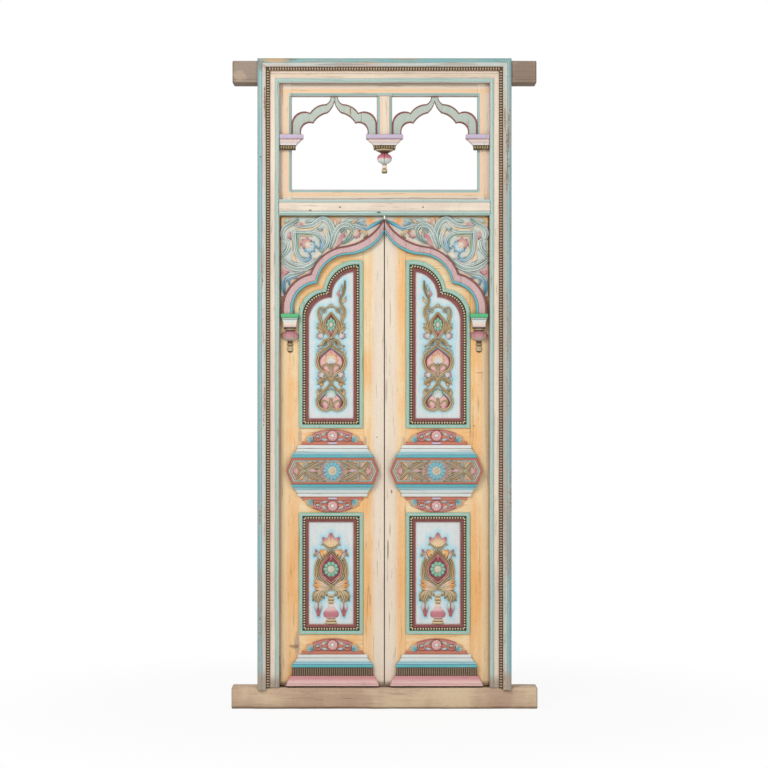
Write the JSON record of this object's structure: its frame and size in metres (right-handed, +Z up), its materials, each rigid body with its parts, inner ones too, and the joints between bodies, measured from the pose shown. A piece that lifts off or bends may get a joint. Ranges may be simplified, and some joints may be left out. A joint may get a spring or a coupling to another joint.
{
  "type": "carved wooden double door with frame",
  "caption": "Painted and carved wooden double door in its frame, with an open arched light above and two hinged leaves.",
  "frame": {"origin": "underside of the sill, in the middle of its length and depth", "axes": "+X to the right across the door, +Y from the carved front towards the back, +Z up"},
  "size_m": [1.27, 0.13, 2.7],
  "materials": {
    "sill_wood": "bare weathered wood",
    "beam_wood": "bare weathered wood",
    "jamb_paint": "worn cream paint on wood",
    "casing_paint": "worn turquoise paint on wood",
    "bead_paint": "dark worn paint on wood",
    "stop_paint": "worn mint paint on wood",
    "sash_paint": "worn orange paint on wood",
    "arch_paint": "stippled pale green paint on wood",
    "lavender_paint": "worn lavender paint on wood",
    "stile_paint": "worn cream and orange paint on wood",
    "panel_paint": "pale blue-white paint on wood",
    "moulding_paint": "green and maroon paint on wood",
    "carving_paint": "olive and gold paint on wood",
    "spandrel_paint": "pale green paint on wood",
    "band_paint": "lilac stippled paint on wood",
    "belt_paint": "red, mint and white paint on wood",
    "plinth_paint": "pink, white and turquoise paint on wood",
    "pivot_iron": "dark rusted"
  },
  "bodies": {
    "frame": {"sill": "sill_wood", "head_beam": "beam_wood", "transom_bar": "jamb_paint", "head_stop": "stop_paint", "head_casing": "casing_paint", "bead_strips": "bead_paint", "sash_top_rail": "sash_paint", "sash_bottom_rail": "sash_paint", "sash_mullion": "sash_paint", "middle_bracket": "lavender_paint", "side_brackets": "lavender_paint", "transom_pendant": "lavender_paint", "pivot_sockets": "pivot_iron", "left_jamb": "jamb_paint", "right_jamb": "jamb_paint", "left_stop": "stop_paint", "right_stop": "stop_paint", "left_casing": "casing_paint", "right_casing": "casing_paint", "left_sash_stile": "sash_paint", "right_sash_stile": "sash_paint", "left_transom_arch": "arch_paint", "right_transom_arch": "arch_paint"},
    "left_leaf": {"left_hanging_stile": "stile_paint", "left_meeting_stile": "stile_paint", "left_top_rail": "stile_paint", "left_lock_rail": "stile_paint", "left_bottom_rail": "stile_paint", "left_upper_panel": "panel_paint", "left_lower_panel": "panel_paint", "left_upper_moulding": "moulding_paint", "left_lower_moulding": "moulding_paint", "left_upper_carving": "carving_paint", "left_lower_carving": "carving_paint", "left_spandrel": "spandrel_paint", "left_arch_band": "band_paint", "left_arch_corbel": "belt_paint", "left_belt": "belt_paint", "left_frieze_carvings": "belt_paint", "left_plinth": "plinth_paint", "left_pivot_pins": "pivot_iron"},
    "right_leaf": {"right_hanging_stile": "stile_paint", "right_meeting_stile": "stile_paint", "right_top_rail": "stile_paint", "right_lock_rail": "stile_paint", "right_bottom_rail": "stile_paint", "right_upper_panel": "panel_paint", "right_lower_panel": "panel_paint", "right_upper_moulding": "moulding_paint", "right_lower_moulding": "moulding_paint", "right_upper_carving": "carving_paint", "right_lower_carving": "carving_paint", "right_spandrel": "spandrel_paint", "right_arch_band": "band_paint", "right_arch_corbel": "belt_paint", "right_belt": "belt_paint", "right_frieze_carvings": "belt_paint", "right_plinth": "plinth_paint", "right_pivot_pins": "pivot_iron"}
  },
  "joints": [
    {"name": "left_leaf_hinge", "type": "hinge", "parent": "frame", "child": "left_leaf", "pos_m": [-0.43, 0.004, 1.078], "axis": [0, 0, 1], "range_deg": [0, 90]},
    {"name": "right_leaf_hinge", "type": "hinge", "parent": "frame", "child": "right_leaf", "pos_m": [0.43, 0.004, 1.078], "axis": [0, 0, -1], "range_deg": [0, 90]}
  ]
}
